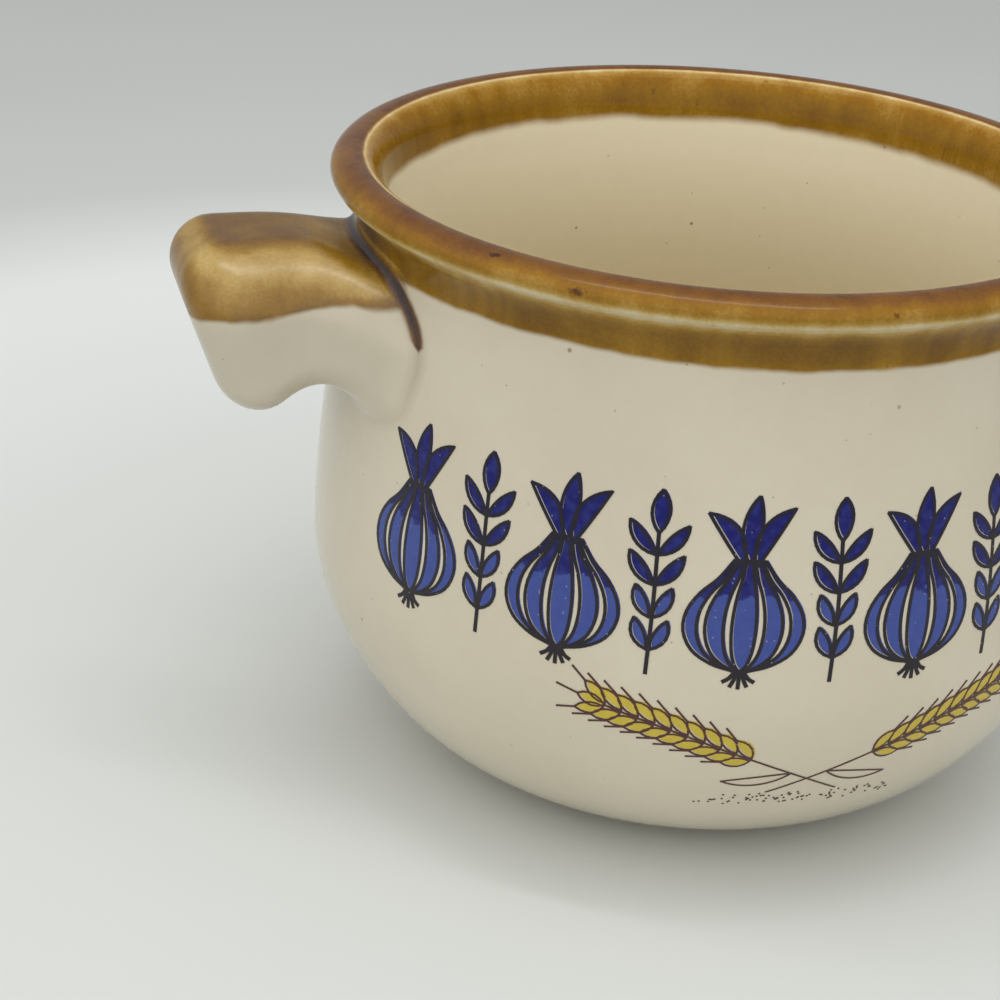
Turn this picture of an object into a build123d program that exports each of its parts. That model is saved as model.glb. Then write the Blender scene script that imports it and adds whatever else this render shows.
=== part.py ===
"""Single-serving soup crock: a turned stoneware bowl with a rolled lip, one stuck-on lug handle and its glazes.

Millimetres, +Z up. The origin is on the bowl's axis, at the level of the table it stands on.
The handle points along -X and the crock's front faces -Y.
Wall, lip and handle sizes are those of the glazed surface; the clay lies one glaze coat inside it.
"""
from build123d import *
import math
import os

# Overall form of the bowl
crock_height = 82.5
rim_radius = 52.0
belly_swell = 0.5
belly_height = 32.0
wall = 3.8
glaze = 0.35

# Rolled lip: an oval bead over a hollow curve that runs down into the wall
lip_width = 6.0
lip_height = 4.2
lip_overhang = 4.7
lip_blend_angle = 150.0
lip_root_round = 4.5

# Neck and inside throat
neck_flare = 10.0
throat_depth = 11.0
throat_wall = 2.7

# Base: a low bare foot ring round a recessed underside
foot_radius = 28.0
foot_width = 4.0
foot_height = 1.4
foot_bevel = 0.4
base_recess = 1.2
floor_thickness = 4.8
floor_radius = 20.0
base_curve_fullness = 0.46

# Brown rim glaze: how far it comes down outside and inside
outer_band_depth = 9.4
inner_band_depth = 6.6

# Lug handle: its sections from inside the wall outwards, with top and bottom measured down from the rim.
# The crown is the round of a section's upper corners and the heel that of its lower ones.
handle_length = 27.5
root_reach = -6.0
flare_reach = 0.5
waist_reach = 10.0
lobe_reach = 15.5
end_slant = 21.0
nose_round = 5.5
lug_root = {"width": 47.0, "top": 10.0, "bottom": 30.4, "crown": 9.0, "heel": 8.0}
lug_flare = {"width": 38.0, "top": 10.0, "bottom": 29.9, "crown": 9.0, "heel": 7.0}
lug_waist = {"width": 26.0, "top": 7.1, "bottom": 25.4, "crown": 9.0, "heel": 4.5}
lug_lobe = {"width": 26.5, "top": 7.0, "bottom": 30.6, "crown": 9.0, "heel": 6.0}
lug_end = {"width": 25.5, "top": 7.2, "bottom": 29.2, "crown": 9.0, "heel": 6.0}

# Slip joint and the brown dip on the handle
slip_thickness = 0.3
dip_drop_at_wall = 12.3
dip_drop_at_tip = 15.9

# Places that follow from the sizes above
lip_radius = rim_radius - lip_width / 2
lip_level = crock_height - lip_height / 2
neck_radius = rim_radius - lip_overhang
throat_radius = neck_radius - throat_wall
belly_radius = rim_radius + belly_swell
throat_level = crock_height - throat_depth
floor_level = base_recess + floor_thickness
inner_belly_radius = belly_radius - wall
band_split_radius = (neck_radius + throat_radius) / 2
outer_band_level = crock_height - outer_band_depth
inner_band_level = crock_height - inner_band_depth
clear_of_all = crock_height + belly_radius + handle_length


def base_curve(top_radius, top_level, low_radius, low_level):
    """Quarter-round sweep from an upright wall at the top to a level floor at the bottom."""
    pull_down = (top_level - low_level) * base_curve_fullness
    pull_out = (top_radius - low_radius) * base_curve_fullness
    return Bezier(
        (top_radius, top_level),
        (top_radius, top_level - pull_down),
        (low_radius + pull_out, low_level),
        (low_radius, low_level),
    )


def shoulder_curve(inset):
    """Outside of the wall from under the lip, flaring out to the upright belly."""
    third = (lip_level - belly_height) / 3
    flare_out = third * math.tan(math.radians(neck_flare))
    return Bezier(
        (neck_radius - inset, lip_level),
        (neck_radius - inset + flare_out, lip_level - third),
        (belly_radius - inset, belly_height + third),
        (belly_radius - inset, belly_height),
    )


def throat_curve(inset):
    """Inside of the wall from the belly up to the narrow throat."""
    third = (throat_level - belly_height) / 3
    return Bezier(
        (inner_belly_radius + inset, belly_height),
        (inner_belly_radius + inset, belly_height + third),
        (throat_radius + inset, throat_level - third),
        (throat_radius + inset, throat_level),
    )


def lip_blend(inset):
    """Inside of the mouth from the throat, leaning out until it runs into the lip's oval."""
    angle = math.radians(lip_blend_angle)
    half_width = lip_width / 2 - inset
    half_height = lip_height / 2 - inset
    end = (lip_radius + half_width * math.cos(angle), lip_level + half_height * math.sin(angle))
    slope = Vector(half_width * math.sin(angle), -half_height * math.cos(angle)).normalized()
    third = (end[1] - throat_level) / 3
    return Bezier(
        (throat_radius + inset, throat_level),
        (throat_radius + inset, throat_level + third),
        (end[0] - slope.X * third, end[1] - slope.Y * third),
        end,
    )


def crock(inset):
    """The hollow bowl, its surfaces lying one inset inside the glazed ones; the foot ring stays as it is."""
    with BuildPart() as form:
        with BuildSketch(Plane.XZ) as section:
            with BuildLine():
                outside = shoulder_curve(inset)
                base = base_curve(belly_radius - inset, belly_height, foot_radius, foot_height + inset)
                Polyline(
                    base @ 1,
                    (foot_radius, foot_bevel),
                    (foot_radius - foot_bevel, 0),
                    (foot_radius - foot_width + foot_bevel, 0),
                    (foot_radius - foot_width, foot_bevel),
                    (foot_radius - foot_width, base_recess),
                    (0, base_recess),
                    (0, floor_level - inset),
                    (floor_radius, floor_level - inset),
                )
                base_curve(inner_belly_radius + inset, belly_height, floor_radius, floor_level - inset)
                throat_curve(inset)
                blend = lip_blend(inset)
                Line(blend @ 1, outside @ 0)
            make_face()
            with Locations((lip_radius, lip_level)):
                Ellipse(lip_width / 2 - inset, lip_height / 2 - inset)
            under_lip = section.vertices().sort_by_distance((neck_radius, crock_height - lip_height))[0]
            fillet(under_lip, lip_root_round + inset)
        revolve(axis=Axis.Z)
    return form.part


def outside_of_wall(inset):
    """The bowl's outside filled in solid up to the lip, to cut whatever meets the wall."""
    with BuildPart() as form:
        with BuildSketch(Plane.XZ):
            with BuildLine():
                outside = shoulder_curve(inset)
                base = base_curve(belly_radius - inset, belly_height, foot_radius, foot_height + inset)
                Polyline(base @ 1, (0, foot_height + inset), (0, lip_level), outside @ 0)
            make_face()
        revolve(axis=Axis.Z)
    return form.part


def lug(inset):
    """The handle's form, lofted from inside the wall out to its slanted, rounded end."""
    slant = math.radians(end_slant)
    end_height = lug_end["bottom"] - lug_end["top"]
    end_reach = handle_length - end_height / 2 * math.tan(slant) - inset / math.cos(slant)
    stations = (
        (lug_root, root_reach, 0.0),
        (lug_flare, flare_reach, 0.0),
        (lug_waist, waist_reach, 0.0),
        (lug_lobe, lobe_reach, 0.0),
        (lug_end, end_reach, slant),
    )
    with BuildPart() as form:
        for section, reach, lean in stations:
            top = crock_height - section["top"] - inset
            bottom = crock_height - section["bottom"] + inset
            middle = (-neck_radius - reach, 0, (top + bottom) / 2)
            facing = (-math.cos(lean), 0, -math.sin(lean))
            with BuildSketch(Plane(middle, x_dir=(0, -1, 0), z_dir=facing)) as outline:
                Rectangle(section["width"] - 2 * inset, (top - bottom) / math.cos(lean))
                fillet(outline.vertices().group_by(Axis.Y)[-1], section["crown"] - inset)
                fillet(outline.vertices().group_by(Axis.Y)[0], section["heel"] - inset)
        loft()
        nose = form.faces().sort_by(Axis.X)[0]
        fillet(nose.edges(), nose_round - inset)
    return form.part


# Forms that more than one piece is cut from
glazed_crock = crock(0.0)
clay_crock = crock(glaze)
glazed_outside = outside_of_wall(0.0)
middle_of_wall = outside_of_wall(wall / 2)
lug_glazed = lug(0.0)
lug_clay = lug(glaze)

# Space that the brown rim glaze fills: lower outside the wall than inside it
with BuildPart() as rim_band:
    with BuildSketch(Plane.XZ):
        Polygon(
            (0, inner_band_level),
            (band_split_radius, inner_band_level),
            (band_split_radius, outer_band_level),
            (clear_of_all, outer_band_level),
            (clear_of_all, crock_height + lip_height),
            (0, crock_height + lip_height),
            align=None,
        )
    revolve(axis=Axis.Z)

# Slanting level down to which the handle is dipped in brown glaze
dip_fall = dip_drop_at_tip - dip_drop_at_wall
dip_plane = Plane(
    origin=(-neck_radius, 0, crock_height - dip_drop_at_wall),
    x_dir=(0, 1, 0),
    z_dir=(-dip_fall, 0, handle_length),
)

# Turned clay bowl with its rolled lip and foot ring
with BuildPart() as clay_body:
    add(clay_crock)

# Cast clay lug, its root hollowed to the wall it is stuck on
with BuildPart() as handle:
    add(lug_clay)
    add(outside_of_wall(glaze - slip_thickness), mode=Mode.SUBTRACT)

# Film of clay slip that joins the lug to the wall
with BuildPart() as luting_slip:
    add(lug_clay)
    add(outside_of_wall(glaze - slip_thickness), mode=Mode.INTERSECT)
    add(outside_of_wall(glaze), mode=Mode.SUBTRACT)

# Brown glaze over the lip and down both sides of it
with BuildPart() as rim_glaze:
    add(glazed_crock)
    add(clay_crock, mode=Mode.SUBTRACT)
    add(rim_band.part, mode=Mode.INTERSECT)
    add(lug_clay, mode=Mode.SUBTRACT)

# Cream glaze outside, from the brown band down to the foot ring and round the handle's root
with BuildPart() as outer_glaze:
    add(glazed_crock)
    add(clay_crock, mode=Mode.SUBTRACT)
    add(middle_of_wall, mode=Mode.SUBTRACT)
    add(rim_band.part, mode=Mode.SUBTRACT)
    add(lug_clay, mode=Mode.SUBTRACT)

# Cream glaze lining the inside
with BuildPart() as inner_glaze:
    add(glazed_crock)
    add(clay_crock, mode=Mode.SUBTRACT)
    add(middle_of_wall, mode=Mode.INTERSECT)
    add(rim_band.part, mode=Mode.SUBTRACT)

# Brown glaze on the upper part of the handle
with BuildPart() as handle_glaze:
    add(lug_glazed)
    add(lug_clay, mode=Mode.SUBTRACT)
    add(glazed_outside, mode=Mode.SUBTRACT)
    split(bisect_by=dip_plane, keep=Keep.TOP)

# Cream glaze on the lower part of the handle
with BuildPart() as handle_base_glaze:
    add(lug_glazed)
    add(lug_clay, mode=Mode.SUBTRACT)
    add(glazed_outside, mode=Mode.SUBTRACT)
    split(bisect_by=dip_plane, keep=Keep.BOTTOM)

pieces = {
    "clay_body": clay_body,
    "handle": handle,
    "luting_slip": luting_slip,
    "rim_glaze": rim_glaze,
    "outer_glaze": outer_glaze,
    "inner_glaze": inner_glaze,
    "handle_glaze": handle_glaze,
    "handle_base_glaze": handle_base_glaze,
}
os.makedirs("parts", exist_ok=True)
for name, piece in pieces.items():
    piece.part.label = name
    export_step(piece.part, f"parts/{name}.step")
print("ok")
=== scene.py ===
import math

import bmesh
import bpy
import numpy as np
from mathutils import Matrix, Vector, noise
from mathutils.geometry import delaunay_2d_cdt


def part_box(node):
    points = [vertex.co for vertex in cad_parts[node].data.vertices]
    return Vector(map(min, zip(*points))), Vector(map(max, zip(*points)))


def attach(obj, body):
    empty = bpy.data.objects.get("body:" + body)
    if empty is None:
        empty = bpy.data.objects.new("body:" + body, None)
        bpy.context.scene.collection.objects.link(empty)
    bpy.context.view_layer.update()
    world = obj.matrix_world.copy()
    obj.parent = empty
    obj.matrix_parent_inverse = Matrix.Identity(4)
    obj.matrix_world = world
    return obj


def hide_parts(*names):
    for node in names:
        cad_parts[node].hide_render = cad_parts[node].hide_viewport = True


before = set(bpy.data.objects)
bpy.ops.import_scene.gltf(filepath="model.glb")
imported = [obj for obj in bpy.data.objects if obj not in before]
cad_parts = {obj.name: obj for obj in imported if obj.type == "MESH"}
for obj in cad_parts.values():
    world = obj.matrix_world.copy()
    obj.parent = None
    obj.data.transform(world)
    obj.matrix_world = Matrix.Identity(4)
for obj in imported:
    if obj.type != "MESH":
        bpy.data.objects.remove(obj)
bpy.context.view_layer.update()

MM = 0.001

# Glazed form of the bowl, in millimetres, with its reach taken from the frame
crock_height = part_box("rim_glaze")[1].z / MM
rim_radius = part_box("rim_glaze")[1].x / MM
belly_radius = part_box("outer_glaze")[1].x / MM
belly_height = 32.0
wall = 3.8
coat = 0.3
lip_width = 6.0
lip_height = 4.2
lip_overhang = 4.7
lip_blend_angle = 150.0
# Rounder than in the solids, as glaze has gathered in the hollow under the lip
lip_root_round = 6.0
neck_flare = 10.0
throat_depth = 11.0
throat_wall = 2.7
foot_radius = 28.0
foot_height = 1.4
floor_level = 6.0
floor_radius = 20.0
base_curve_fullness = 0.46
outer_band_depth = 9.4
inner_band_depth = 6.6
# Waves in the edges of the brown band: (height, length, seed)
outer_waves = ((0.35, 24.0, 3.1), (0.12, 7.0, 8.4))
inner_waves = ((0.7, 18.0, 5.7), (0.25, 5.0, 1.9))
lip_radius = rim_radius - lip_width / 2
lip_level = crock_height - lip_height / 2
neck_radius = rim_radius - lip_overhang
throat_radius = neck_radius - throat_wall
throat_level = crock_height - throat_depth
inner_belly_radius = belly_radius - wall

# Lug handle: sections of (reach, width, top, bottom, upper round, lower round), with levels below the rim
handle_length = 27.5
lug_sections = (
    (-6.0, 47.0, 10.0, 30.4, 9.0, 8.0),
    (0.5, 38.0, 10.0, 29.9, 9.0, 7.0),
    (10.0, 26.0, 7.1, 25.4, 9.0, 4.5),
    (15.5, 26.5, 7.0, 30.6, 9.0, 6.0),
)
# Last section, whose reach follows from the handle's length: (width, top, bottom, upper round, lower round)
end_section = (25.5, 7.2, 29.2, 9.0, 6.0)
end_slant = math.radians(21.0)
nose_round = 5.5
fillet_by_height = ((57.0, 69.0), (1.4, 2.4))
edge_sink = 0.006
pool_reach = 0.9
pool_fade = 0.6
pool_taper = 1.1
pool_end = 65.9
dip_drop_at_wall = 12.3
dip_drop_at_tip = 15.9
dip_waves = ((0.7, 7.0), (0.3, 2.2))

# Handle's glaze, each as places and the values there: depth of its brown with painted highlight and
# reflection, pooled glaze and painted shade at the seam, painted shade
# By slope: the pale ridge is thin glaze and a painted highlight, the darker top a painted reflection
depth_and_painted_light_by_slope = (
    (0.0, 0.3, 0.5, 0.66, 0.8, 0.88, 0.95, 0.985, 1.0),
    (0.50, 0.47, 0.40, 0.27, 0.14, 0.21, 0.43, 0.58, 0.66),
)
deepest_by_reach = ((3.0, 10.0), (0.38, 0.7))
depth_by_dip = ((0.0, 0.6, 2.0), (0.56, 0.52, 0.0))
depth_by_seam = ((0.0, 0.45, 0.9, 1.4), (1.0, 0.92, 0.62, 0.25))
pool_depth_by_height = ((66.0, 70.0), (0.8, 1.0))
# Cream in the seam's valley: pooled glaze and painted shade, fading out lower down
valley_by_seam = ((0.0, 0.6, 1.8), (1.0, 0.6, 0.0))
valley_by_height = ((55.0, 64.0), (0.4, 1.0))
# Painted shade on the handle's cream: none at the wall, full 5 mm out
shading_by_seam = ((0.0, 5.0), (0.0, 1.0))

# Printed ornament on the front, in millimetres on the glaze
print_middle = math.radians(-90.0)
print_grid = 1.2
print_sink = 0.05
misprint = (0.28, 0.18)
frieze_level = 35.2
frieze_pitch = 22.4
frieze_onions = 6
tone_level = 45.5
wheat_level = 17.8
fill_lift = 0.05
line_lift = 0.08
onion_line = 0.42
stem_line = 0.5
wheat_line = 0.26
ground_dot_count = 90
ground_dot_sides = 6
ground_dot_radius = 0.17

# Mesh density
curve_points = 80
fine_curve_points = 400
arc_points = 26
columns_round = 320
rim_rows = 110
outside_rows = 84
lining_rows = 80
lug_points_per_edge = 24
lug_line_points = 240
lug_rows = 46
seam_rows = 9
nose_row_count = 12
face_rings = (0.75, 0.5, 0.25)
sharp_angle = math.radians(55.0)


def unit(vectors):
    """A vector, or each one of several, scaled to a length of 1."""
    return vectors / np.linalg.norm(vectors, axis=-1, keepdims=True)


def on_circle(angles):
    """Points of a circle of radius 1 at one angle or several."""
    return np.stack((np.cos(angles), np.sin(angles)), -1)


def bezier(a, b, c, d, count=curve_points):
    """Points along a cubic curve, end points included."""
    t = np.linspace(0.0, 1.0, count).reshape((-1,) + (1,) * np.ndim(a))
    a, b, c, d = (np.array(p, float) for p in (a, b, c, d))
    return (1 - t) ** 3 * a + 3 * (1 - t) ** 2 * t * b + 3 * (1 - t) * t**2 * c + t**3 * d


def base_curve(top_radius, top_level, low_radius, low_level):
    """Sweep from an upright wall down to a level floor."""
    pull_down = (top_level - low_level) * base_curve_fullness
    pull_out = (top_radius - low_radius) * base_curve_fullness
    return bezier(
        (top_radius, top_level),
        (top_radius, top_level - pull_down),
        (low_radius + pull_out, low_level),
        (low_radius, low_level),
    )


def shoulder_curve():
    """Outside of the wall from under the lip down to the belly."""
    third = (lip_level - belly_height) / 3
    flare_out = third * math.tan(math.radians(neck_flare))
    return bezier(
        (neck_radius, lip_level),
        (neck_radius + flare_out, lip_level - third),
        (belly_radius, belly_height + third),
        (belly_radius, belly_height),
        fine_curve_points,
    )


def on_oval(angle):
    """(radius, height) on the lip's oval at one angle or several: 0 outwards, a quarter turn up."""
    return (lip_radius, lip_level) + on_circle(angle) * (lip_width / 2, lip_height / 2)


def inside_curves():
    """Inside of the wall from the lip's oval past the throat and down to the belly."""
    angle = math.radians(lip_blend_angle)
    start = on_oval(angle)
    slope = unit(np.array((lip_width / 2 * math.sin(angle), -lip_height / 2 * math.cos(angle))))
    throat = (throat_radius, throat_level)
    rise = (start[1] - throat_level) / 3
    blend = bezier(start, start - slope * rise, (throat_radius, throat_level + rise), throat)
    third = (throat_level - belly_height) / 3
    below = bezier(
        throat,
        (throat_radius, throat_level - third),
        (inner_belly_radius, belly_height + third),
        (inner_belly_radius, belly_height),
    )
    return blend, below


def arc_lengths(path):
    """Distance along a path at each of its points."""
    steps = np.linalg.norm(np.diff(path, axis=0), axis=1)
    return np.concatenate(([0.0], np.cumsum(steps)))


def offset_path(path, distance):
    """A path moved sideways, to its right, by this distance."""
    slopes = unit(np.gradient(path, axis=0))
    return path + distance * np.stack((slopes[:, 1], -slopes[:, 0]), 1)


def arc_joined(before, after, radius):
    """Two paths that meet in a hollow corner, joined by an arc of this radius that touches both."""
    centres_before = offset_path(before, radius)
    centres_after = offset_path(after, radius)
    gaps = np.linalg.norm(centres_before[:, None] - centres_after[None], axis=2)
    leave, land = np.unravel_index(np.argmin(gaps), gaps.shape)
    centre = (centres_before[leave] + centres_after[land]) / 2
    first = math.atan2(*(before[leave] - centre)[::-1]) % math.tau
    last = math.atan2(*(after[land] - centre)[::-1]) % math.tau
    angles = np.linspace(first, last, arc_points)[1:-1]
    arc = centre + radius * on_circle(angles)
    return np.concatenate((before[: leave + 1], arc, after[land:]))


def glazed_profile():
    """Path (radius, height) from the foot up the outside, over the lip and down to the floor's middle."""
    base = base_curve(belly_radius, belly_height, foot_radius, foot_height)[::-1]
    shoulder = shoulder_curve()[::-1]
    across = (shoulder[:, 0] - lip_radius) / (lip_width / 2)
    up = (shoulder[:, 1] - lip_level) / (lip_height / 2)
    clear = np.hypot(across, up) > 1.0
    root = math.degrees(math.atan2(up[clear][-1], across[clear][-1]))
    lip = on_oval(np.radians(np.linspace(root, lip_blend_angle, fine_curve_points)))
    outside = np.concatenate((base[:-1], arc_joined(shoulder[clear], lip, lip_root_round)))
    blend, below = inside_curves()
    inner_base = base_curve(inner_belly_radius, belly_height, floor_radius, floor_level)
    floor = np.array(((floor_radius / 2, floor_level), (0.0, floor_level)))
    return np.concatenate((outside, blend[1:], below[1:], inner_base[1:], floor))


profile = glazed_profile()
along = arc_lengths(profile)
top_index = int(np.argmax(profile[:, 1]))


def at(distance):
    """(radius, height) on the profile at this distance from the foot."""
    return np.interp(distance, along, profile[:, 0]), np.interp(distance, along, profile[:, 1])


def distance_at_height(height, inside=False):
    """Distance along the profile to a height on its outside or inside."""
    if inside:
        return np.interp(-height, -profile[top_index:, 1], along[top_index:])
    return np.interp(height, profile[:top_index, 1], along[:top_index])


def distance_on_lip(degrees):
    """Distance along the profile to a direction on the lip's oval: 0 outwards, 90 up."""
    gaps = np.linalg.norm(profile - on_oval(math.radians(degrees)), axis=1)
    return along[int(np.argmin(gaps))]


def wall_radius(height):
    """Radius of the glazed outside at a height below the lip."""
    return at(distance_at_height(height))[0]


outer_edge = distance_at_height(crock_height - outer_band_depth)
inner_edge = distance_at_height(crock_height - inner_band_depth, inside=True)

# How deep the brown glaze lies along the profile: 0 worn thin, 1 a pool; the pale lines under the lip and
# on its inner arris are thin glaze and also painted reflection and highlight
lip_touch = distance_on_lip(-53.0)
depth_and_painted_light_keys = (
    (outer_edge - 3.0, 0.42),
    (outer_edge, 0.45),
    (outer_edge + 1.2, 0.53),
    (lip_touch - 3.2, 0.55),
    (lip_touch - 2.3, 0.49),
    # Pale line under the lip's edge: thin glaze, and a painted reflection of the floor
    (lip_touch - 1.5, 0.37),
    (lip_touch - 0.8, 0.20),
    (lip_touch - 0.2, 0.05),
    (distance_on_lip(-28.0), 0.05),
    (distance_on_lip(-18.0), 0.17),
    (distance_on_lip(-8.0), 0.35),
    (distance_on_lip(5.0), 0.42),
    (distance_on_lip(30.0), 0.46),
    (distance_on_lip(46.0), 0.57),
    (distance_on_lip(60.0), 0.65),
    (distance_on_lip(108.0), 0.74),
    # Pale line on the inner arris: thin glaze, and a painted highlight
    (distance_on_lip(113.0), 0.40),
    (distance_on_lip(115.0), 0.04),
    (distance_on_lip(120.0), 0.04),
    (distance_on_lip(127.0), 0.26),
    (distance_on_lip(146.0), 0.40),
    (inner_edge - 2.6, 0.50),
    (inner_edge - 0.8, 0.43),
    (inner_edge + 3.0, 0.40),
)
depth_places, depth_and_painted_light_values = zip(*depth_and_painted_light_keys)
inside_span = (distance_on_lip(116.0), distance_on_lip(146.0))

# Dark smears in the glaze on the lip: (azimuth, direction on the lip's oval, half length, half width)
smears = ((-141.0, 60.0, 0.95, 0.5), (-127.9, 14.0, 1.35, 0.6), (-86.8, 15.0, 0.5, 0.4))


def new_object(name, data):
    """A new object in the scene that holds this mesh, light or camera."""
    made = bpy.data.objects.new(name, data)
    bpy.context.scene.collection.objects.link(made)
    return made


def mesh_object(name, vertices, faces, smooth=True):
    """A mesh object in the row frame from points in millimetres."""
    mesh = bpy.data.meshes.new(name)
    mesh.from_pydata([Vector(v) * MM for v in vertices], [], faces)
    if smooth:
        mesh.shade_smooth()
    return new_object(name, mesh)


def store(piece, **numbers):
    """Keeps lists of one number per vertex on a piece, for its material to read by name."""
    for name, values in numbers.items():
        layer = piece.data.attributes.new(name, "FLOAT", "POINT")
        layer.data.foreach_set("value", np.asarray(values, np.float32))


def thickened(piece, thickness):
    """Turns a sheet into a closed coat that lies inside the sheet's surface."""
    layer = piece.modifiers.new("coat", "SOLIDIFY")
    layer.thickness = thickness * MM
    layer.offset = -1.0
    graph = bpy.context.evaluated_depsgraph_get()
    mesh = bpy.data.meshes.new_from_object(piece.evaluated_get(graph))
    mesh.set_sharp_from_angle(angle=sharp_angle)
    piece.modifiers.clear()
    old = piece.data
    piece.data = mesh
    bpy.data.meshes.remove(old)
    mesh.name = piece.name


def edge_at(azimuth, edge, waves=()):
    """Distance along the profile to an edge of the glaze, uneven round the bowl if it has waves."""
    for height, length, seed in waves:
        spread = rim_radius / length
        spot = Vector((math.cos(azimuth) * spread, math.sin(azimuth) * spread, seed))
        edge += height * noise.noise(spot)
    return edge


def outer_distance(azimuth, place):
    """How far a place lies above the brown band's outer edge."""
    return place - edge_at(azimuth, outer_edge, outer_waves)


def inner_distance(azimuth, place):
    """How far a place lies above the brown band's inner edge."""
    return edge_at(azimuth, inner_edge, inner_waves) - place


def rim_distance(azimuth, place):
    """How far a place on the rim lies inside the brown band."""
    return np.minimum(outer_distance(azimuth, place), inner_distance(azimuth, place))


def revolved_sheet(name, start, end, rows, edge_distance):
    """Sheet of the profile between two edges, each with its waves if it has any."""
    vertices = []
    edges = []
    depths = []
    insides = []
    for azimuth in np.arange(columns_round) * math.tau / columns_round:
        places = np.linspace(edge_at(azimuth, *start), edge_at(azimuth, *end), rows + 1)
        radius, height = at(places)
        vertices += zip(radius * math.cos(azimuth), radius * math.sin(azimuth), height)
        edges += list(edge_distance(azimuth, places))
        depths += list(np.interp(places, depth_places, depth_and_painted_light_values))
        insides += list(np.interp(places, inside_span, (0.0, 1.0)))
    faces = []
    for column in range(columns_round):
        here = column * (rows + 1)
        there = (column + 1) % columns_round * (rows + 1)
        for row in range(rows):
            faces.append((here + row, there + row, there + row + 1, here + row + 1))
    piece = mesh_object(name, vertices, faces)
    store(piece, brown_edge=edges, brown_depth=depths, inside=insides)
    shape = bmesh.new()
    shape.from_mesh(piece.data)
    bmesh.ops.remove_doubles(shape, verts=shape.verts, dist=0.001 * MM)
    shape.to_mesh(piece.data)
    shape.free()
    return piece


def lug_outline(middle, lean, width, height, crown, heel):
    """Closed rounded rectangle across the handle, with as many points on each side as on each corner."""
    across = np.array((0.0, 1.0, 0.0))
    up = np.array((-math.sin(lean), 0.0, math.cos(lean)))
    fractions = np.arange(lug_points_per_edge) / lug_points_per_edge
    corners = ((1, 1, crown), (-1, 1, crown), (-1, -1, heel), (1, -1, heel))
    centres = [np.array((x * (width / 2 - round_), y * (height / 2 - round_))) for x, y, round_ in corners]
    points = []
    for quarter in range(4):
        radius = corners[quarter][2]
        points += list(centres[quarter] + radius * on_circle((quarter + fractions) * math.pi / 2))
        ray = on_circle((quarter + 1) * math.pi / 2)
        following = (quarter + 1) % 4
        start = centres[quarter] + radius * ray
        finish = centres[following] + corners[following][2] * ray
        points += list(start + (finish - start) * fractions[:, None])
    points = np.array(points)
    return middle + points[:, :1] * across + points[:, 1:] * up


def through_sections(knots, sections, places):
    """Smooth lines through the matching points of several sections."""
    lines = np.zeros((len(places),) + sections.shape[1:])
    for i, section in enumerate(sections):
        weight = np.ones(len(places))
        for j, knot in enumerate(knots):
            if j != i:
                weight *= (places - knot) / (knots[i] - knot)
        lines += weight[:, None, None] * section
    return lines


def lug_columns():
    """Points of the handle's surface, as lines that run from inside the wall out to its end face."""
    end_top, end_bottom = end_section[1:3]
    end_reach = handle_length - (end_bottom - end_top) / 2 * math.tan(end_slant)
    stations = [section + (0.0,) for section in lug_sections]
    stations.append((end_reach,) + end_section + (end_slant,))
    outlines = []
    for reach, width, top, bottom, crown, heel, lean in stations:
        middle = np.array((-neck_radius - reach, 0.0, crock_height - (top + bottom) / 2))
        outlines.append(lug_outline(middle, lean, width, (bottom - top) / math.cos(lean), crown, heel))
    outlines = np.array(outlines)
    strides = np.linalg.norm(np.diff(outlines, axis=0), axis=2).mean(1)
    knots = np.concatenate(([0.0], np.cumsum(strides)))
    surface = through_sections(knots, outlines, np.linspace(0.0, knots[-1], lug_line_points))
    return surface.transpose(1, 0, 2)


def seam_index(line):
    """First place, as a fractional index, where a line of the handle comes out through the wall."""
    outside = np.hypot(line[:, 0], line[:, 1]) - np.array([wall_radius(z) for z in line[:, 2]])
    first = int(np.argmax(outside > 0.0))
    return first - outside[first] / (outside[first] - outside[first - 1])


def point_on(line, index):
    """Point of a line at a fractional index."""
    low = min(int(index), len(line) - 2)
    return line[low] + (line[low + 1] - line[low]) * (index - low)


def even_points(line, start, finish, count):
    """Points spread evenly along a line between two fractional indices, ends included."""
    inner = np.arange(math.floor(start) + 1, math.ceil(finish))
    path = np.array([point_on(line, start)] + [line[i] for i in inner] + [point_on(line, finish)])
    lengths = arc_lengths(path)
    places = np.linspace(0.0, lengths[-1], count)
    return np.stack([np.interp(places, lengths, path[:, axis]) for axis in range(3)], 1)


def index_past(line, start, distance):
    """Fractional index at a distance out from another one."""
    lengths = arc_lengths(line)
    indices = np.arange(len(line))
    return np.interp(np.interp(start, indices, lengths) + distance, lengths, indices)


def fillet_at(point):
    """Size of the glaze fillet at a place on the seam: more glaze has gathered near the top."""
    return np.interp(point[2], *fillet_by_height)


def seam_curve_rows(lines, seams, seam_points):
    """Rows of the glaze in the corner between wall and handle, flush with both."""
    middle = seam_points.mean(0)
    along_seam = np.roll(seam_points, -1, 0) - np.roll(seam_points, 1, 0)
    facing = seam_points * (1.0, 1.0, 0.0)
    away = unit(np.cross(facing, along_seam))
    away *= np.sign(np.einsum("ij,ij->i", away, seam_points - middle))[:, None]
    rows = []
    for t in np.linspace(0.0, 1.0, seam_rows):
        row = []
        for line, seam, point, direction in zip(lines, seams, seam_points, away):
            fillet = fillet_at(point)
            on_wall = point + direction * fillet * (1 - t) ** 2
            on_wall[:2] *= (wall_radius(on_wall[2]) - edge_sink * (1 - t) ** 8) / math.hypot(*on_wall[:2])
            on_lug = point_on(line, index_past(line, seam, fillet * t**2))
            row.append(on_wall + on_lug - point)
        rows.append(np.array(row))
    return rows


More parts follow.
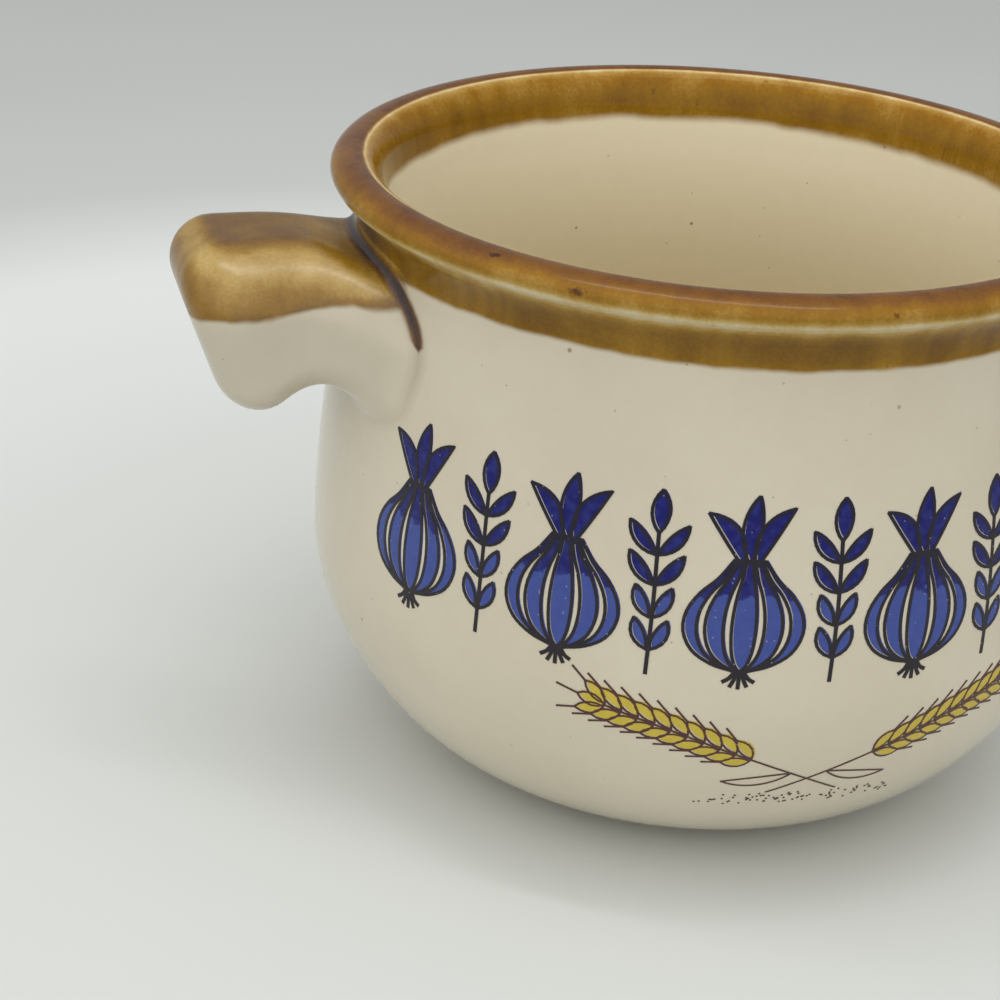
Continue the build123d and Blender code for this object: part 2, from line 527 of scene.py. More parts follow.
def round_lower_corner(row, side, bottom):
    """Rounds the end face's outline between a point on its side and one on its bottom."""
    pull = 0.6
    up = np.array((-math.sin(end_slant), 0.0, math.cos(end_slant)))
    corner = row[side] + up * np.dot(row[bottom] - row[side], up)
    first, last = min(side, bottom), max(side, bottom)
    pull_first = row[first] + (corner - row[first]) * pull
    pull_last = row[last] + (corner - row[last]) * pull
    row[first : last + 1] = bezier(row[first], pull_first, pull_last, row[last], last - first + 1)


def nose_rows(lines, count):
    """Where the rounding of the end face's edge starts on each line, and the rows of that rounding."""
    outwards = np.array((-math.cos(end_slant), 0.0, -math.sin(end_slant)))
    slopes = np.gradient(lines, axis=1)
    inwards = unit(np.cross(slopes, np.roll(lines, -1, 0) - np.roll(lines, 1, 0)))
    inwards *= np.sign(np.einsum("ijk,ijk->ij", inwards, lines.mean(0) - lines))[:, :, None]
    starts = []
    leaving = []
    centres = []
    for line, inward in zip(lines, inwards):
        behind_face = (line[-1] - line - inward * nose_round) @ outwards - nose_round
        first = len(line) // 2 + int(np.argmax(behind_face[len(line) // 2 :] < 0.0))
        index = first - behind_face[first] / (behind_face[first] - behind_face[first - 1])
        starts.append(index)
        leaving.append(point_on(line, index))
        centres.append(point_on(line + inward * nose_round, index))
    leaving = np.array(leaving)
    rays = (leaving - centres) / nose_round
    landing = np.array(centres) + outwards * nose_round
    edge = lug_points_per_edge
    round_lower_corner(landing, 4 * edge - edge // 3, 5 * edge + edge // 6)
    round_lower_corner(landing, 7 * edge + edge // 3, 6 * edge - edge // 6)
    upright = (rays @ outwards)[:, None]
    sweep = np.arccos(upright)
    chord = np.linalg.norm(landing - leaving, axis=1)[:, None]
    pull = chord * 2 / 3 * np.tan(sweep / 4) / np.sin(sweep / 2)
    set_off = (outwards - upright * rays) / np.sin(sweep)
    arrive = (upright * outwards - rays) / np.sin(sweep)
    rows = bezier(leaving, leaving + set_off * pull, landing - arrive * pull, landing, count)
    return starts, rows[1:]


def dip_distance(point):
    """Height of a point above the slanting level that the handle was dipped to, with an uneven edge."""
    reach = -point[0] - neck_radius
    fall = (dip_drop_at_tip - dip_drop_at_wall) * reach / handle_length
    level = crock_height - dip_drop_at_wall - fall
    ragged = sum(height * noise.noise(Vector(point) / length) for height, length in dip_waves)
    return point[2] - level + ragged


def lug_point_rows():
    """Rows of points round the handle, from its glaze on the wall out to the rings of its end face."""
    lines = lug_columns()
    seams = [seam_index(line) for line in lines]
    seam_points = np.array([point_on(line, seam) for line, seam in zip(lines, seams)])
    fillets = [fillet_at(point) for point in seam_points]
    leave = [index_past(*item) for item in zip(lines, seams, fillets)]
    rows = seam_curve_rows(lines, seams, seam_points)
    starts, rounded = nose_rows(lines, nose_row_count)
    body = np.array([even_points(*item, lug_rows) for item in zip(lines, leave, starts)]).transpose(1, 0, 2)
    rows += list(body[1:]) + list(rounded)
    face_middle = rows[-1].mean(0)
    for shrink in face_rings:
        rows.append(face_middle + (rounded[-1] - face_middle) * shrink)
    return rows, face_middle


def lug_sheet():
    """Glaze surface of the whole handle, with the numbers that its material reads."""
    rows, face_middle = lug_point_rows()
    count = len(rows[0])
    points = [point for row in rows for point in row] + [face_middle]
    faces = []
    for row in range(len(rows) - 1):
        for column in range(count):
            following = (column + 1) % count
            here = row * count
            faces.append((here + column, here + count + column, here + count + following, here + following))
    last = (len(rows) - 1) * count
    for column in range(count):
        faces.append((last + (column + 1) % count, last + column, len(points) - 1))
    piece = mesh_object("handle_coat", points, faces)
    valley_row = seam_rows // 2
    numbers = []
    for index, point in enumerate(points):
        from_seam = np.linalg.norm(rows[valley_row] - point, axis=1).min()
        facing_up = piece.data.vertices[index].normal.z
        numbers.append(lug_glaze(point, from_seam, facing_up, index < valley_row * count))
    edges, depths, valleys, shadings = np.transpose(numbers)
    store(piece, brown_edge=edges, brown_depth=depths, valley=valleys, shading=shadings)
    return piece


def lug_glaze(point, from_seam, facing_up, on_wall):
    """(distance inside the brown glaze, its depth with painted highlight and reflection, pooled glaze and
    painted shade in the seam, painted shade) at a point of the handle.
    """
    if on_wall:
        dip = outer_distance(math.atan2(point[1], point[0]), distance_at_height(point[2]))
    else:
        dip = dip_distance(point)
    fullness = math.sqrt(np.clip((point[2] - pool_end) / pool_taper, 0.0, 1.0))
    pool = (pool_reach + pool_fade) * fullness - pool_fade - from_seam
    # Paler ridge partly a painted highlight, darker top a painted reflection
    depth = np.interp(facing_up, *depth_and_painted_light_by_slope)
    depth = min(depth, np.interp(-point[0] - neck_radius, *deepest_by_reach))
    depth = max(depth, np.interp(dip, *depth_by_dip))
    pool_depth = np.interp(point[2], *pool_depth_by_height) * np.interp(from_seam, *depth_by_seam)
    # Pooled glaze and painted shade in the seam's valley
    valley = np.interp(point[2], *valley_by_height) * np.interp(from_seam, *valley_by_seam)
    # Painted shade on the handle's cream
    shading = 0.0 if on_wall else np.interp(from_seam, *shading_by_seam)
    return max(dip, pool), max(depth, pool_depth), valley, shading


def half_of(piece, name, above):
    """Copy of the handle's sheet with only what lies above, or below, the level of the brown dip."""
    half = new_object(name, piece.data.copy())
    fall = dip_drop_at_tip - dip_drop_at_wall
    shape = bmesh.new()
    shape.from_mesh(half.data)
    bmesh.ops.bisect_plane(
        shape,
        geom=shape.verts[:] + shape.edges[:] + shape.faces[:],
        plane_co=Vector((-neck_radius, 0.0, crock_height - dip_drop_at_wall)) * MM,
        plane_no=(-fall, 0.0, handle_length),
        clear_inner=above,
        clear_outer=not above,
    )
    shape.to_mesh(half.data)
    shape.free()
    return half


def catmull(points, step=0.7):
    """Smooth open path through points."""
    points = np.array(points, float)
    padded = np.concatenate((2 * points[:1] - points[1:2], points, 2 * points[-1:] - points[-2:-1]))
    path = []
    for before, start, finish, after in zip(padded, padded[1:], padded[2:], padded[3:]):
        count = max(2, int(np.linalg.norm(finish - start) / step))
        t = np.arange(count)[:, None] / count
        slope_in, slope_out = (finish - before) / 2, (after - start) / 2
        h = 2 * t**3 - 3 * t**2
        leave = (t**3 - 2 * t**2 + t) * slope_in
        arrive = (t**3 - t**2) * slope_out
        path.append((h + 1) * start + leave - h * finish + arrive)
    return np.concatenate(path + [points[-1:]])


def leaf(base, tip, width, bend=0.0):
    """Closed pointed leaf between two points, its middle pushed sideways by the bend."""
    step, fullness, low_pull, high_pull = 0.6, 0.66, 0.3, 0.72
    base, tip = np.array(base, float), np.array(tip, float)
    rise = tip - base
    side = np.array((-rise[1], rise[0])) / np.linalg.norm(rise)
    count = max(5, int(np.linalg.norm(rise) / step))
    sides = []
    for half in (width * fullness, -width * fullness):
        shift = side * (half + bend)
        low, high = base + low_pull * rise + shift, base + high_pull * rise + shift
        sides.append(bezier(base, low, high, tip, count))
    return np.concatenate((sides[1], sides[0][-2:0:-1]))


def stroke(path, width):
    """Line of this width along a path, as one quad per step."""
    quads = []
    for start, finish in zip(path, path[1:]):
        step = unit(finish - start) * width / 2
        side = np.array((-step[1], step[0]))
        first, last = start - 0.5 * step, finish + 0.5 * step
        quads.append(np.array((first - side, last - side, last + side, first + side)))
    return quads


def outline(shape, width):
    """Line of this width round a closed shape."""
    return stroke(np.concatenate((shape, shape[:1])), width)


def moved(shape, across, up):
    """A flat shape in another place."""
    return shape + np.array((across, up))


def onion():
    """(filled shapes, bare lines) of an onion with sprouting leaves, standing on its root."""
    low_side = ((0.9, 0.8), (3.6, 1.6), (6.0, 3.2), (7.2, 5.6))
    high_side = ((7.0, 8.2), (5.6, 10.6), (3.6, 12.6), (1.9, 15.0))
    half_widths = catmull(low_side + high_side)
    shapes = []
    for inner, outer in ((-1.0, -0.78), (-0.64, -0.34), (-0.20, 0.20), (0.34, 0.64), (0.78, 1.0)):
        right = half_widths * (outer, 1.0)
        left = half_widths * (inner, 1.0)
        shapes.append(np.concatenate((right, left[::-1])))
    shapes.append(leaf((0.0, 14.6), (0.5, 23.0), 2.3, 0.4))
    shapes.append(leaf((-0.8, 14.2), (-5.4, 20.6), 2.1, -1.3))
    shapes.append(leaf((0.8, 14.2), (5.0, 21.6), 2.1, 1.3))
    roots = []
    for across, down in ((-1.9, 0.7), (-1.0, 1.3), (0.0, 1.5), (1.0, 1.2), (1.8, 0.6)):
        roots.append(catmull(((0.25 * across, 0.9), (0.6 * across, 0.1 - 0.4 * down), (across, -down))))
    return shapes, roots


def sprig():
    """(filled shapes, bare lines) of an upright sprig of paired leaves."""
    shapes = [leaf((0.0, 17.5), (0.0, 22.8), 2.2)]
    for level, reach in ((2.6, 2.0), (6.8, 2.2), (11.0, 3.3), (14.8, 3.6)):
        for side in (-1, 1):
            shapes.append(leaf((0.2 * side, level), (reach * side, level + 3.9), 1.6, -0.35 * side))
    return shapes, [catmull(((0.0, -0.6), (0.15, 8.0), (0.0, 17.6)))]


def wheat_ear(side):
    """(kernels, lines, blade) of one ear of wheat on its stem, leaning out to one side."""
    bare_share, kernel_stride = 0.42, 3
    kernel_length, kernel_spread, kernel_width = 3.3, 2.1, 1.6
    beard_length, beard_spread = 2.1, 1.1
    stem = catmull(((-5.0, -1.2), (1.5, 2.4), (9.0, 6.0), (18.0, 9.6), (27.0, 12.2)))
    kernels = []
    lines = [stem]
    slopes = np.gradient(stem, axis=0)
    for index in range(int(bare_share * len(stem)), len(stem), kernel_stride):
        forward = unit(slopes[index])
        across = np.array((-forward[1], forward[0]))
        for turn in (-1, 1):
            tip = stem[index] + kernel_length * forward + turn * kernel_spread * across
            kernels.append(leaf(stem[index] + turn * 0.25 * across, tip, kernel_width, turn * 0.15))
            lines.append(np.array((tip, tip + beard_length * forward + turn * beard_spread * across)))
    end = unit(slopes[-1])
    kernels.append(leaf(stem[-1], stem[-1] + 3.6 * end, 1.7))
    lines.append(np.array((stem[-1] + 3.6 * end, stem[-1] + 6.4 * end)))
    blade = leaf((2.4, 2.9), (11.5, 1.2), 1.7, -0.9)
    if side < 0:
        mirror = np.array((side, 1.0))
        kernels = [kernel[::-1] * mirror for kernel in kernels]
        lines = [line * mirror for line in lines]
        blade = blade[::-1] * mirror
    return kernels, lines, blade


def ground_dots():
    """Stippled ground under the crossed stems."""
    angles = np.arange(ground_dot_sides) * math.tau / ground_dot_sides
    dot = ground_dot_radius * on_circle(angles)
    dots = []
    for _ in range(ground_dot_count):
        spread = noise.random_vector(size=2)
        dots.append(moved(dot, 15.0 * spread[0], -2.7 + 1.3 * spread[1] - 0.9 * abs(spread[0]) ** 2))
    return dots


def printed(name, shapes, level, lift):
    """Thin closed layer on the front of the bowl from flat shapes on a level, united where they overlap."""
    corners = []
    loops = []
    for shape in shapes:
        loops.append(list(range(len(corners), len(corners) + len(shape))))
        corners += [Vector(point) for point in shape]
    low = np.min([shape.min(0) for shape in shapes], axis=0)
    high = np.max([shape.max(0) for shape in shapes], axis=0)
    for across in np.arange(low[0], high[0], print_grid):
        corners += [Vector((across, up)) for up in np.arange(low[1], high[1], print_grid)]
    flat, _, triangles, _, _, owners = delaunay_2d_cdt(corners, [], loops, 0, 0.0001, True)
    kept = [triangle for triangle, owner in zip(triangles, owners) if owner]
    used = sorted({corner for triangle in kept for corner in triangle})
    number = {corner: index for index, corner in enumerate(used)}
    base = distance_at_height(level)
    top = []
    under = []
    for corner in used:
        azimuth = print_middle + flat[corner].x / belly_radius
        radius, height = at(base + flat[corner].y)
        for layer, proud in ((top, lift), (under, -print_sink)):
            reach = radius + proud
            layer.append((reach * math.cos(azimuth), reach * math.sin(azimuth), height))
    faces = []
    borders = set()
    for triangle in kept:
        a, b, c = (number[corner] for corner in triangle)
        faces.append((a, b, c))
        faces.append((c + len(used), b + len(used), a + len(used)))
        for edge in ((a, b), (b, c), (c, a)):
            if edge[::-1] in borders:
                borders.remove(edge[::-1])
            else:
                borders.add(edge)
    for start, finish in sorted(borders):
        faces.append((finish, start, start + len(used), finish + len(used)))
    piece = mesh_object(name, top + under, faces, smooth=False)
    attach(piece, "root")
    return piece


def frieze_shapes():
    """Filled shapes and dark lines of the frieze: onions with sprigs between them."""
    fills = []
    lines = []
    for index in range(2 * frieze_onions - 1):
        across = (index - frieze_onions + 1) * frieze_pitch / 2
        shapes, strokes = onion() if index % 2 == 0 else sprig()
        for shape in shapes:
            fills.append(moved(shape, across + misprint[0], misprint[1]))
            lines += outline(moved(shape, across, 0.0), onion_line)
        for path in strokes:
            lines += stroke(moved(path, across, 0.0), stem_line)
    return fills, lines


def wheat_shapes():
    """Yellow kernels and brown lines of the crossed ears of wheat."""
    fills = []
    lines = []
    for side in (1, -1):
        kernels, strokes, blade = wheat_ear(side)
        fills += [moved(kernel, *misprint) for kernel in kernels]
        for shape in kernels + [blade]:
            lines += outline(shape, wheat_line)
        for path in strokes:
            lines += stroke(path, wheat_line)
    return fills, lines + ground_dots()


def feed(tree, made, inputs):
    """Gives a node its inputs, each a number, a colour or another node's output."""
    for key, value in inputs.items():
        if isinstance(value, bpy.types.NodeSocket):
            tree.links.new(value, made.inputs[key])
        else:
            made.inputs[key].default_value = value


def node(tree, kind, inputs, **settings):
    """A shader node with its settings and its inputs."""
    made = tree.nodes.new("ShaderNode" + kind)
    for key, value in settings.items():
        setattr(made, key, value)
    feed(tree, made, inputs)
    return made


def ramp(tree, factor, stops):
    """Colour ramp with stops of (place, red, green, blue)."""
    made = node(tree, "ValToRGB", {"Fac": factor})
    elements = made.color_ramp.elements
    while len(elements) < len(stops):
        elements.new(0.5)
    for element, (place, *colour) in zip(elements, stops):
        element.position = place
        element.color = (*colour, 1.0)
    return made.outputs["Color"]


def math_node(tree, operation, first, second, clamp=False):
    """Result of an operation on two numbers, held from 0 to 1 if clamped."""
    return node(tree, "Math", {0: first, 1: second}, operation=operation, use_clamp=clamp).outputs[0]


def span(tree, value, low, high, out_low=0.0, out_high=1.0):
    """Value mapped smoothly from one span to another and held at its ends."""
    inputs = {"Value": value, "From Min": low, "From Max": high, "To Min": out_low, "To Max": out_high}
    return node(tree, "MapRange", inputs, interpolation_type="SMOOTHSTEP").outputs["Result"]


def lumps(tree, place, size, detail):
    """Noise with lumps of this size in millimetres."""
    inputs = {"Vector": place, "Scale": 1.0 / (size * MM), "Detail": detail}
    return node(tree, "TexNoise", inputs).outputs["Fac"]


def wander(tree, place, size, detail, low=0.0, high=1.0):
    """Number that wanders between two values, in lumps of this size in millimetres."""
    return span(tree, lumps(tree, place, size, detail), 0.3, 0.7, low, high)


def mixed(tree, factor, first, second, blend="MIX"):
    """Mix of two colours, by the numbers that a mix node gives its colour sockets."""
    inputs = {0: factor, 6: first, 7: second}
    return node(tree, "Mix", inputs, data_type="RGBA", blend_type=blend).outputs[2]


def specks(tree, place, spacing, radius, share):
    """Mask of small round specks, which only this share of the cells holds."""
    cells = node(tree, "TexVoronoi", {"Vector": place, "Scale": 1.0 / (spacing * MM)})
    dot = span(tree, cells.outputs["Distance"], radius / spacing, 0.4 * radius / spacing)
    chosen = node(tree, "SeparateColor", {"Color": cells.outputs["Color"]}).outputs["Red"]
    rare = math_node(tree, "GREATER_THAN", chosen, 1.0 - share)
    return math_node(tree, "MULTIPLY", dot, rare)


def height_of(tree, place):
    """Height of a place above the floor, in metres."""
    return node(tree, "SeparateXYZ", {"Vector": place}).outputs["Z"]


def bumped(tree, shader, height, strength, depth):
    """Gives a shader bumps from a height, their depth in millimetres."""
    bump = node(tree, "Bump", {"Strength": strength, "Distance": depth * MM, "Height": height})
    feed(tree, shader, {"Normal": bump.outputs["Normal"]})


def new_material(name):
    """(material, its node tree, its shader, the object's coordinates)"""
    material = bpy.data.materials.new(name)
    material.use_nodes = True
    tree = material.node_tree
    shader = tree.nodes["Principled BSDF"]
    place = node(tree, "TexCoord", {}).outputs["Object"]
    return material, tree, shader, place


def brown_glaze(tree, place, depth, inside):
    """Colour of the brown glaze: pale where it is thin, near black where it pools, redder on the lip."""
    tall = node(tree, "Mapping", {"Vector": place, "Scale": (1.0, 1.0, 0.15)}).outputs["Vector"]
    streaks = wander(tree, tall, 2.4, 1.0, -0.035, 0.035)
    blotches = wander(tree, place, 8.0, 2.0, -0.05, 0.05)
    grain = wander(tree, place, 0.45, 2.0, -0.03, 0.03)
    upright = node(tree, "Mapping", {"Vector": place, "Scale": (1.0, 1.0, 0.04)}).outputs["Vector"]
    drips = span(tree, lumps(tree, upright, 1.3, 1.0), 0.68, 0.8, 0.0, 0.16)
    drips = math_node(tree, "MULTIPLY", drips, inside)
    for change in (streaks, blotches, grain, drips):
        depth = math_node(tree, "ADD", depth, change)
    olive = (
        (0.00, 0.62, 0.53, 0.34),
        (0.20, 0.46, 0.31, 0.085),
        (0.42, 0.27, 0.145, 0.012),
        (0.60, 0.165, 0.083, 0.006),
        (0.74, 0.115, 0.050, 0.012),
        (0.86, 0.060, 0.022, 0.006),
        (1.00, 0.016, 0.006, 0.004),
    )
    red = (
        (0.00, 0.66, 0.53, 0.31),
        (0.20, 0.47, 0.29, 0.07),
        (0.42, 0.29, 0.135, 0.006),
        (0.60, 0.195, 0.078, 0.009),
        (0.74, 0.138, 0.050, 0.009),
        (0.86, 0.062, 0.021, 0.007),
        (1.00, 0.016, 0.006, 0.004),
    )
    low, high = (crock_height - 2.6) * MM, (crock_height - 0.8) * MM
    on_top = span(tree, height_of(tree, place), low, high, 0.15, 1.0)
    reddened = math_node(tree, "ADD", on_top, math_node(tree, "MULTIPLY", inside, 0.25), clamp=True)
    return mixed(tree, reddened, ramp(tree, depth, olive), ramp(tree, depth, red))


def cream_glaze(tree, place, inside, valley, shading):
    """Colour of the cream glaze: clouded and specked; brighter and warmer inside by painted light, most
    near the top; painted shade on the handle; pooled glaze and painted shade in its seam.
    """
    pale, dusky = (0.635, 0.577, 0.450, 1.0), (0.605, 0.545, 0.415, 1.0)
    # Painted light: the inside is brighter and warmer than the outside, most near the top
    painted_light_inside_low, painted_light_inside_high = (0.70, 0.61, 0.41, 1.0), (0.87, 0.795, 0.595, 1.0)
    low_level, high_level = 42.0 * MM, 74.0 * MM
    # Painted shade for the handle's cream; the mottle's dulling varies at random
    handle_painted_shade, mottle_dulling = (0.88, 0.88, 0.88, 1.0), (0.96, 0.95, 0.93, 1.0)
    # Tone in the seam: pooled cream glaze, darkened further as painted shade
    seam_pool_and_shade_tone, speck_tone = (0.47, 0.41, 0.30, 1.0), (0.20, 0.125, 0.06, 1.0)
    speck_kinds = ((2.6, 0.2, 0.4, 0.5), (6.0, 0.34, 0.45, 0.8), (10.0, 0.45, 0.5, 0.8))
    outer = mixed(tree, wander(tree, place, 22.0, 4.0), pale, dusky)
    # Painted shade darkens the handle's cream
    outer = mixed(tree, shading, outer, handle_painted_shade, "MULTIPLY")
    # Painted light grows towards the top inside
    high = span(tree, height_of(tree, place), low_level, high_level)
    cream = mixed(tree, inside, outer, mixed(tree, high, painted_light_inside_low, painted_light_inside_high))
    mottle = wander(tree, place, 2.0, 3.0, 0.0, 0.35)
    cream = mixed(tree, mottle, cream, mottle_dulling, "MULTIPLY")
    # Pooled glaze and painted shade in the seam's valley
    cream = mixed(tree, valley, cream, seam_pool_and_shade_tone)
    for spacing, radius, share, strength in speck_kinds:
        dots = math_node(tree, "MULTIPLY", specks(tree, place, spacing, radius, share), strength)
        cream = mixed(tree, dots, cream, speck_tone)
    return cream


def lip_smear(tree, place, azimuth, degrees, half_length, half_width):
    """Extra depth of the brown glaze in a small smear that lies along the lip."""
    radius, height = at(distance_on_lip(degrees))
    turn = math.radians(azimuth)
    centre = Vector((radius * math.cos(turn), radius * math.sin(turn), height)) * MM
    size = Vector((half_width, half_length, half_width)) * MM
    inputs = {"Vector": place, "Location": centre, "Rotation": (0.0, 0.0, turn), "Scale": size}
    local = node(tree, "Mapping", inputs, vector_type="TEXTURE").outputs["Vector"]
    away = node(tree, "VectorMath", {0: local}, operation="LENGTH").outputs["Value"]
    ragged = math_node(tree, "ADD", away, wander(tree, place, 0.5, 2.0, -0.3, 0.3))
    return span(tree, ragged, 1.0, 0.3, 0.0, 0.34)


def glaze_material(name, roughness, brown_gloss, brown_haze, swell_size, spots):
    """Glossy cream glaze that turns brown inside the dipped edges, with dark spots where asked for."""
    cream_gloss, worn_gloss, inside_gloss = 0.42, 0.02, 0.12
    deepest_spot = 0.86
    material, tree, shader, place = new_material(name)
    stored = {}
    for label in ("brown_edge", "brown_depth", "inside", "valley", "shading"):
        stored[label] = node(tree, "Attribute", {}, attribute_name=label).outputs["Fac"]
    ragged = span(tree, lumps(tree, place, 5.0, 2.0), 0.25, 0.75, -0.12, 0.12)
    edge = math_node(tree, "ADD", stored["brown_edge"], ragged)
    edge = math_node(tree, "MULTIPLY", edge, span(tree, stored["inside"], 0.0, 1.0, 1.0, 0.5))
    brown_share = span(tree, edge, -0.42, 0.38)
    # Brown depth, holding also the painted highlight and reflection from the lip's and handle's tables
    depth = stored["brown_depth"]
    for spot in spots:
        depth = math_node(tree, "ADD", depth, lip_smear(tree, place, *spot))
        depth = math_node(tree, "MINIMUM", depth, deepest_spot)
    cream = cream_glaze(tree, place, stored["inside"], stored["valley"], stored["shading"])
    brown = brown_glaze(tree, place, depth, stored["inside"])
    colour = mixed(tree, brown_share, cream, brown)
    gloss = span(tree, stored["brown_depth"], 0.06, 0.17, worn_gloss, brown_gloss)
    gloss = span(tree, stored["inside"], 0.0, 1.0, gloss, inside_gloss)
    gloss = span(tree, brown_share, 0.0, 1.0, cream_gloss, gloss)
    haze = math_node(tree, "MULTIPLY", brown_share, brown_haze)
    rough = math_node(tree, "ADD", wander(tree, place, 9.0, 4.0, *roughness), haze)
    feed(tree, shader, {"Base Color": colour, "Specular IOR Level": gloss, "Roughness": rough})
    swell = lumps(tree, place, swell_size, 2.0)
    peel = math_node(tree, "MULTIPLY", lumps(tree, place, 1.3, 2.0), 0.07)
    bumped(tree, shader, math_node(tree, "ADD", swell, peel), strength=0.2, depth=0.5)
    return material


def ink_material(name, upper, lower, change):
    """Glossy printed ink, mottled and pin-holed; it changes colour at a level in millimetres."""
    material, tree, shader, place = new_material(name)
    shaky = span(tree, lumps(tree, place, 2.2, 3.0), 0.25, 0.75, -0.9 * MM, 0.9 * MM)
    level = math_node(tree, "ADD", height_of(tree, place), shaky)
    above = span(tree, level, (change - 0.25) * MM, (change + 0.25) * MM)
    colour = mixed(tree, above, (*lower, 1.0), (*upper, 1.0))
    thin = span(tree, lumps(tree, place, 1.1, 4.0), 0.35, 0.75, 0.0, 0.14)
    paler = [min(1.0, channel * 1.7 + 0.02) for channel in lower]
    colour = mixed(tree, thin, colour, (*paler, 1.0))
    holes = math_node(tree, "MULTIPLY", specks(tree, place, 0.9, 0.14, 0.3), 0.4)
    colour = mixed(tree, holes, colour, (0.55, 0.50, 0.42, 1.0))
    rough = wander(tree, place, 4.0, 3.0, 0.16, 0.3)
    feed(tree, shader, {"Base Color": colour, "Specular IOR Level": 0.3, "Roughness": rough})
    bumped(tree, shader, lumps(tree, place, 0.8, 3.0), strength=0.15, depth=0.1)
    return material


def clay_material(name, pale, dark):
    """Bare fired clay: matt, mottled and gritty."""
    material, tree, shader, place = new_material(name)
    mottle = wander(tree, place, 5.0, 5.0)
    colour = mixed(tree, mottle, (*pale, 1.0), (*dark, 1.0))
    for spacing, radius, share in ((1.6, 0.16, 0.25), (4.5, 0.30, 0.35)):
        colour = mixed(tree, specks(tree, place, spacing, radius, share), colour, (0.20, 0.12, 0.06, 1.0))
    rough = wander(tree, place, 1.2, 3.0, 0.62, 0.85)
    feed(tree, shader, {"Base Color": colour, "Roughness": rough})
    bumped(tree, shader, lumps(tree, place, 0.5, 4.0), strength=0.5, depth=0.08)
    return material


def floor_material():
    """Pale paper with painted light: a brighter ring round the crock and darker far from it; stops are
    shares of the given reach in metres.
    """
    reach = 0.6
    material, tree, shader, place = new_material("paper")
    away = node(tree, "VectorMath", {0: place}, operation="LENGTH").outputs["Value"]
    # Painted light: a little darker near the crock, a bright ring, then darker far away
    painted_light_falloff = ramp(
        tree,
        math_node(tree, "DIVIDE", away, reach),
        (
            (0.00, 0.69, 0.71, 0.685),
            (0.19, 0.695, 0.715, 0.69),
            (0.30, 0.745, 0.77, 0.745),
            (0.335, 0.745, 0.765, 0.74),
            (0.42, 0.545, 0.56, 0.54),
            (0.55, 0.505, 0.518, 0.505),
            (0.75, 0.465, 0.477, 0.465),
            (1.00, 0.435, 0.445, 0.435),
        ),
    )
    mottle = lumps(tree, place, 60.0, 3.0)
    colour = mixed(tree, mottle, painted_light_falloff, (0.97, 0.97, 0.97, 1.0), "MULTIPLY")
    feed(tree, shader, {"Base Color": colour, "Specular IOR Level": 0.2, "Roughness": 0.8})
    return material


def paper_floor():
    """Wide round sheet that the crock stands on."""
    shape = bmesh.new()
    bmesh.ops.create_circle(shape, cap_ends=True, segments=96, radius=4.0)
    mesh = bpy.data.meshes.new("paper_floor")
    shape.to_mesh(mesh)
    shape.free()
    mesh.materials.append(floor_material())
    return new_object("paper_floor", mesh)


def area_light(name, place, target, width, depth, power):
    """Soft rectangular light that looks at a target, all in metres."""
    lamp = bpy.data.lights.new(name, "AREA")
    lamp.shape = "RECTANGLE"
    lamp.size = width
    lamp.size_y = depth
    lamp.energy = power
    holder = new_object(name, lamp)
    holder.location = place
    holder.rotation_euler = (Vector(target) - Vector(place)).to_track_quat("-Z", "Y").to_euler()


def studio():
    """Floor, soft light and surrounding glow."""
    paper_floor()
    middle = (0.0, 0.0, 0.04)
    area_light("softbox", (-0.04, -0.06, 0.95), middle, width=0.60, depth=0.42, power=0.6)
    area_light("strip", (-0.04, -0.06, 0.94), middle, width=0.70, depth=0.07, power=0.9)
    bright_side = Vector((-0.34, -0.61, 0.72)).normalized()
    dim, bright = 0.36, 1.2
    world = bpy.data.worlds.new("studio")
    world.use_nodes = True
    tree = world.node_tree
    direction = node(tree, "TexCoord", {}).outputs["Generated"]
    towards = node(tree, "VectorMath", {0: direction, 1: bright_side}, operation="DOT_PRODUCT")
    glow = span(tree, towards.outputs["Value"], -0.3, 0.95, dim, bright)
    feed(tree, tree.nodes["Background"], {"Strength": glow, "Color": (1.0, 1.0, 1.0, 1.0)})
    bpy.context.scene.world = world
    bpy.context.scene.view_settings.view_transform = "Standard"


def photo_camera():
    """Camera at the photograph's place and angle."""
    right = Vector((0.969730, -0.236555, 0.060543))
    up = Vector((0.044065, 0.413408, 0.909479))
    forward = Vector((0.240171, 0.879281, -0.411318))
    place = Matrix.Translation((-0.112410, -0.308844, 0.180456))
    turn = Matrix((right, up, -forward)).transposed().to_4x4()
    lens = bpy.data.cameras.new("camera")
    lens.sensor_width = 36.0
    lens.lens = 93.6
    lens.clip_start = 0.01
    camera = new_object("camera", lens)
    camera.matrix_world = place @ turn
    bpy.context.scene.camera = camera


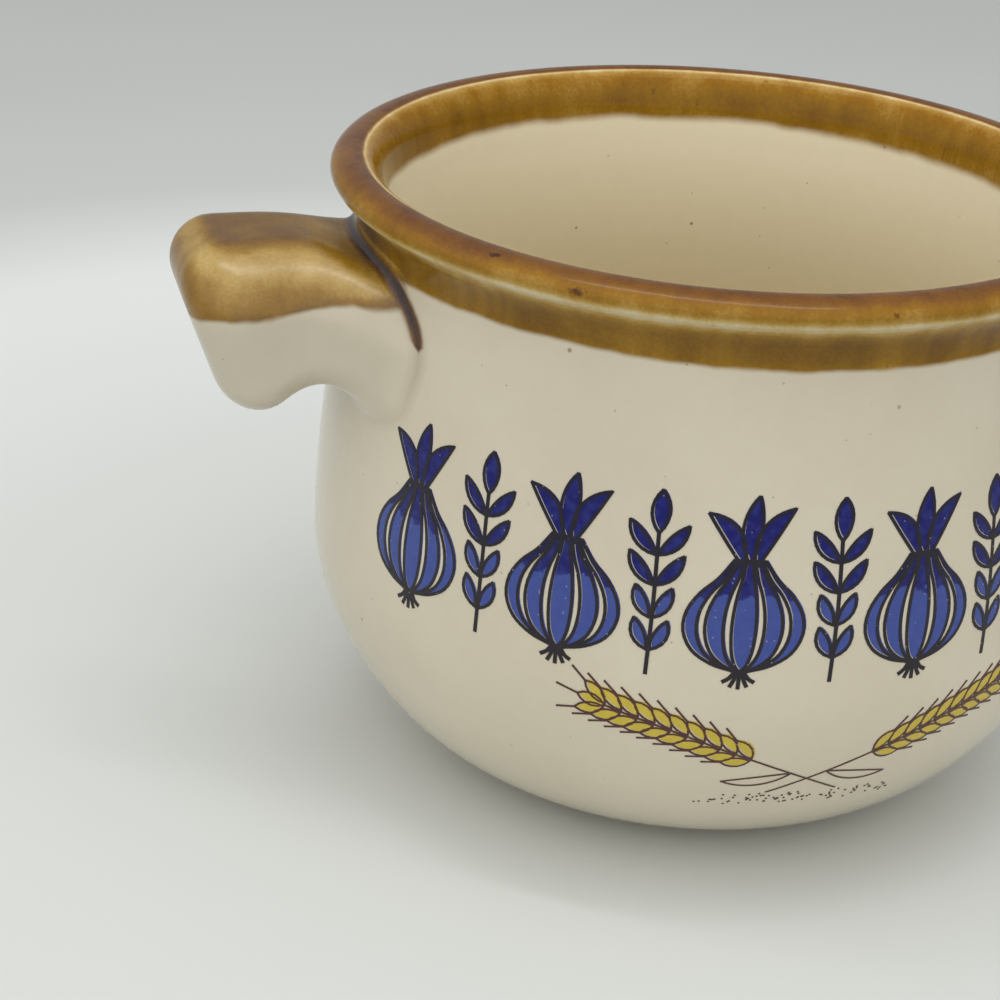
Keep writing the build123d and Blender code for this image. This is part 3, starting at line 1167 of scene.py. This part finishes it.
# Coats of glaze over the clay
glaze = glaze_material(
    "glaze", roughness=(0.09, 0.17), brown_gloss=0.22, brown_haze=0.0, swell_size=14.0, spots=smears
)
handle_glaze = glaze_material(
    "handle_glaze", roughness=(0.13, 0.2), brown_gloss=0.55, brown_haze=0.1, swell_size=9.0, spots=()
)
lug = lug_sheet()
lug_low = half_of(lug, "handle_base_coat", above=False)
lug_top = half_of(lug, "handle_top_coat", above=True)
bpy.data.objects.remove(lug)
foot, floor_middle = (0.0,), (along[-1],)
band_start, band_end = (outer_edge, outer_waves), (inner_edge, inner_waves)
rim = revolved_sheet("rim_coat", band_start, band_end, rim_rows, rim_distance)
outside = revolved_sheet("outer_coat", foot, band_start, outside_rows, outer_distance)
lining = revolved_sheet("inner_coat", band_end, floor_middle, lining_rows, inner_distance)
coats = (
    (rim, "rim_glaze", "brown_glaze", glaze),
    (outside, "outer_glaze", "cream_glaze", glaze),
    (lining, "inner_glaze", "cream_glaze", glaze),
    (lug_top, "handle_glaze", "brown_glaze", handle_glaze),
    (lug_low, "handle_base_glaze", "cream_glaze", handle_glaze),
)
for piece, cad_node, slot, material in coats:
    piece.data.materials.append(material)
    thickened(piece, coat)
    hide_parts(cad_node)
    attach(piece, "root")

# Ornament printed on the front
noise.seed_set(7)
onion_fills, onion_lines = frieze_shapes()
wheat_fills, wheat_lines = wheat_shapes()
prints = (
    ("onion_blue", onion_fills, frieze_level, fill_lift, (0.004, 0.004, 0.115), (0.042, 0.068, 0.27)),
    ("onion_outline", onion_lines, frieze_level, line_lift, (0.012, 0.010, 0.018), (0.016, 0.012, 0.016)),
    ("wheat_yellow", wheat_fills, wheat_level, fill_lift, (0.58, 0.45, 0.05), (0.52, 0.40, 0.05)),
    ("wheat_outline", wheat_lines, wheat_level, line_lift, (0.07, 0.026, 0.02), (0.075, 0.028, 0.022)),
)
for name, shapes, level, lift, upper, lower in prints:
    ink = ink_material(name, upper, lower, tone_level)
    printed(name, shapes, level, lift).data.materials.append(ink)

# Bare clay that the frame shows
clay = clay_material("stoneware", (0.56, 0.47, 0.34), (0.46, 0.37, 0.25))
slip = clay_material("slip", (0.52, 0.43, 0.31), (0.44, 0.35, 0.24))
for cad_node, material in (("clay_body", clay), ("handle", clay), ("luting_slip", slip)):
    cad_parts[cad_node].data.materials.clear()
    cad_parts[cad_node].data.materials.append(material)

# Surroundings and camera
studio()
photo_camera()
